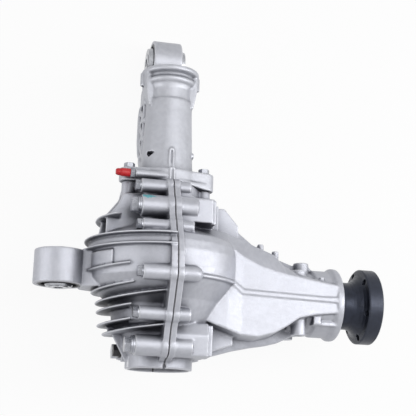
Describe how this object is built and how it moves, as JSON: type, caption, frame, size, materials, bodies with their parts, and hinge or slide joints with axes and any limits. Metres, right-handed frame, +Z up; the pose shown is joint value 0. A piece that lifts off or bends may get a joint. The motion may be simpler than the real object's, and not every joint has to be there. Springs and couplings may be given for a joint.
{
  "type": "front differential",
  "caption": "Front axle differential: split cast case with cooling fins, side axle tube, bushed hanging ears, pinion snout with bolt flange, and a full gear train inside.",
  "frame": {"origin": "centre of the left output mouth, on the axle line", "axes": "+X along the drive pinion towards its flange, +Y along the axle towards the axle tube, +Z up"},
  "size_m": [0.4517, 0.471, 0.22],
  "materials": {
    "cast_aluminium": "fine shot-blasted casting, satin",
    "cast_aluminium_tube": "fine shot-blasted casting, satin",
    "sealant": "matt cured sealant",
    "rubber_seal": "smooth matt rubber",
    "seal_brown": "smooth matt rubber",
    "bush_rubber": "moulded rubber",
    "ground_steel": "ground and oiled",
    "zinc_steel": "silver zinc plate",
    "dark_steel": "phosphated steel",
    "black_plug": "black coated steel",
    "red_cap": "moulded satin plastic",
    "black_flange": "satin black coating",
    "cast_iron": "machined and oiled casting",
    "gear_steel": "hardened, lapped teeth",
    "bearing_steel": "ground bearing steel",
    "bronze": "oiled bronze"
  },
  "bodies": {
    "casing": {"case_cover": "cast_aluminium", "carrier_housing": "cast_aluminium", "axle_tube": "cast_aluminium_tube", "case_gasket": "sealant", "tube_gasket": "rubber_seal", "dowel_pins": "ground_steel", "cover_bolts": "zinc_steel", "bearing_clamp_bolts": "zinc_steel", "clamp_bolt_washers": "zinc_steel", "tube_bolts": "zinc_steel", "drain_plug": "black_plug", "fill_plug": "black_plug", "vent_fitting": "zinc_steel", "vent_cap": "red_cap", "front_ear_outer_sleeve": "dark_steel", "front_ear_rubber": "bush_rubber", "front_ear_inner_sleeve": "ground_steel", "tube_ear_outer_sleeve": "dark_steel", "tube_ear_rubber": "bush_rubber", "tube_ear_inner_sleeve": "ground_steel", "left_output_seal": "seal_brown", "tube_end_seal": "rubber_seal", "pinion_seal": "rubber_seal", "left_carrier_cup": "bearing_steel", "right_carrier_cup": "bearing_steel", "carrier_shims": "ground_steel", "pinion_head_cup": "bearing_steel", "pinion_tail_cup": "bearing_steel", "tube_bearing_outer": "bearing_steel"},
    "carrier": {"left_carrier_cone": "bearing_steel", "right_carrier_cone": "bearing_steel", "diff_case": "cast_iron", "ring_gear": "gear_steel", "ring_gear_bolts": "dark_steel", "cross_pin": "ground_steel", "cross_pin_lock": "dark_steel", "upper_spider_washer": "bronze", "lower_spider_washer": "bronze", "left_side_washer": "bronze", "right_side_washer": "bronze"},
    "pinion": {"drive_pinion": "gear_steel", "pinion_head_cone": "bearing_steel", "pinion_tail_cone": "bearing_steel", "crush_sleeve": "dark_steel", "companion_flange": "black_flange", "dust_deflector": "black_flange", "pinion_nut": "zinc_steel"},
    "left_gear": {"left_side_gear": "gear_steel"},
    "right_shaft": {"right_side_gear": "gear_steel", "intermediate_shaft": "gear_steel", "shaft_circlip": "dark_steel", "tube_bearing_inner": "bearing_steel"},
    "upper_spider": {"upper_spider_gear": "gear_steel"},
    "lower_spider": {"lower_spider_gear": "gear_steel"},
    "left_roller_cage": {"left_carrier_rollers": "bearing_steel"},
    "right_roller_cage": {"right_carrier_rollers": "bearing_steel"},
    "head_roller_cage": {"pinion_head_rollers": "bearing_steel"},
    "tail_roller_cage": {"pinion_tail_rollers": "bearing_steel"},
    "tube_ball_cage": {"tube_bearing_balls": "bearing_steel"}
  },
  "joints": [
    {"name": "carrier_spin", "type": "hinge", "parent": "casing", "child": "carrier", "pos_m": [0, 0.1, 0], "axis": [0, 1, 0], "continuous": true},
    {"name": "pinion_spin", "type": "hinge", "parent": "casing", "child": "pinion", "pos_m": [0.15, 0.097, 0], "axis": [1, 0, 0], "continuous": true},
    {"name": "right_shaft_spin", "type": "hinge", "parent": "carrier", "child": "right_shaft", "pos_m": [0, 0.13, 0], "axis": [0, 1, 0], "continuous": true},
    {"name": "left_gear_spin", "type": "hinge", "parent": "carrier", "child": "left_gear", "pos_m": [0, 0.07, 0], "axis": [0, 1, 0], "continuous": true},
    {"name": "upper_spider_spin", "type": "hinge", "parent": "carrier", "child": "upper_spider", "pos_m": [0, 0.1, 0.03], "axis": [0, 0, 1], "continuous": true},
    {"name": "lower_spider_spin", "type": "hinge", "parent": "carrier", "child": "lower_spider", "pos_m": [0, 0.1, -0.03], "axis": [0, 0, 1], "continuous": true},
    {"name": "left_cage_spin", "type": "hinge", "parent": "casing", "child": "left_roller_cage", "pos_m": [0, 0.032, 0], "axis": [0, 1, 0], "continuous": true},
    {"name": "right_cage_spin", "type": "hinge", "parent": "casing", "child": "right_roller_cage", "pos_m": [0, 0.177, 0], "axis": [0, 1, 0], "continuous": true},
    {"name": "head_cage_spin", "type": "hinge", "parent": "casing", "child": "head_roller_cage", "pos_m": [0.106, 0.097, 0], "axis": [1, 0, 0], "continuous": true},
    {"name": "tail_cage_spin", "type": "hinge", "parent": "casing", "child": "tail_roller_cage", "pos_m": [0.203, 0.097, 0], "axis": [1, 0, 0], "continuous": true},
    {"name": "tube_cage_spin", "type": "hinge", "parent": "casing", "child": "tube_ball_cage", "pos_m": [0, 0.386, 0], "axis": [0, 1, 0], "continuous": true}
  ],
  "couplings": [
    {"joint": "pinion_spin", "follows": "carrier_spin", "ratio": -3.0769},
    {"joint": "left_cage_spin", "follows": "carrier_spin", "ratio": 0.43},
    {"joint": "right_cage_spin", "follows": "carrier_spin", "ratio": 0.43},
    {"joint": "head_cage_spin", "follows": "carrier_spin", "ratio": -1.2923},
    {"joint": "tail_cage_spin", "follows": "carrier_spin", "ratio": -1.2923},
    {"joint": "tube_cage_spin", "follows": "carrier_spin", "ratio": 0.41},
    {"joint": "left_gear_spin", "follows": "right_shaft_spin", "ratio": -1},
    {"joint": "upper_spider_spin", "follows": "right_shaft_spin", "ratio": -1.6},
    {"joint": "lower_spider_spin", "follows": "right_shaft_spin", "ratio": 1.6}
  ]
}
